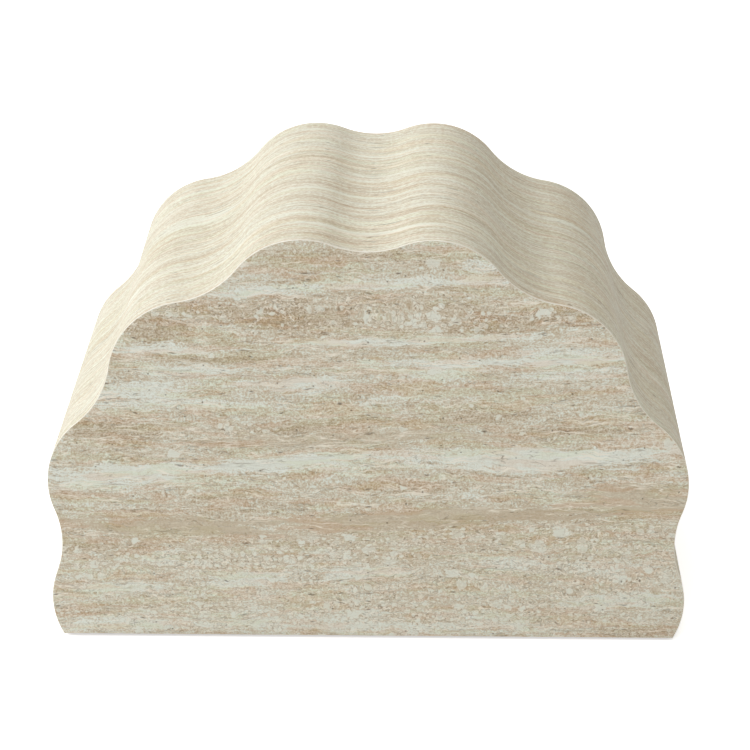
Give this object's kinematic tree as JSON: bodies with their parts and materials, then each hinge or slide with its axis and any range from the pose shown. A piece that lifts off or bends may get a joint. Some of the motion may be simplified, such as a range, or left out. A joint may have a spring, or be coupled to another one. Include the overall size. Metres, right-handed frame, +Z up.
{
  "type": "coffee table",
  "caption": "Half-round coffee table with a scalloped edge: a hollow timber carcass wrapped in travertine-look laminate, standing on small nylon glides.",
  "frame": {"origin": "on the floor under the middle of the base, midway between the front and back faces", "axes": "+X to the right as seen from the front, along the width; +Y from the front face to the back face; +Z up"},
  "size_m": [0.6, 0.39, 0.4],
  "materials": {
    "travertine_laminate": "satin, printed with travertine bands",
    "backing_sheet": "matt, plain",
    "mdf": "sanded fibreboard",
    "plywood": "sanded, unvarnished",
    "pine": "planed",
    "beech": "turned and fluted",
    "zinc_steel": "zinc plated",
    "nylon": "moulded"
  },
  "bodies": {
    "root": {"front_laminate": "travertine_laminate", "back_laminate": "travertine_laminate", "wall_laminate": "travertine_laminate", "base_sheet": "backing_sheet", "front_panel": "mdf", "back_panel": "mdf", "base_board": "mdf", "left_bent_wall": "plywood", "right_bent_wall": "plywood", "front_former": "plywood", "back_former": "plywood", "left_low_batten": "pine", "left_middle_batten": "pine", "left_high_batten": "pine", "top_batten": "pine", "right_high_batten": "pine", "right_middle_batten": "pine", "right_low_batten": "pine", "front_dowels": "beech", "back_dowels": "beech", "front_panel_screws": "zinc_steel", "back_panel_screws": "zinc_steel", "former_screws": "zinc_steel", "glide_nails": "zinc_steel", "front_left_glide": "nylon", "front_right_glide": "nylon", "back_left_glide": "nylon", "back_right_glide": "nylon"}
  },
  "joints": []
}
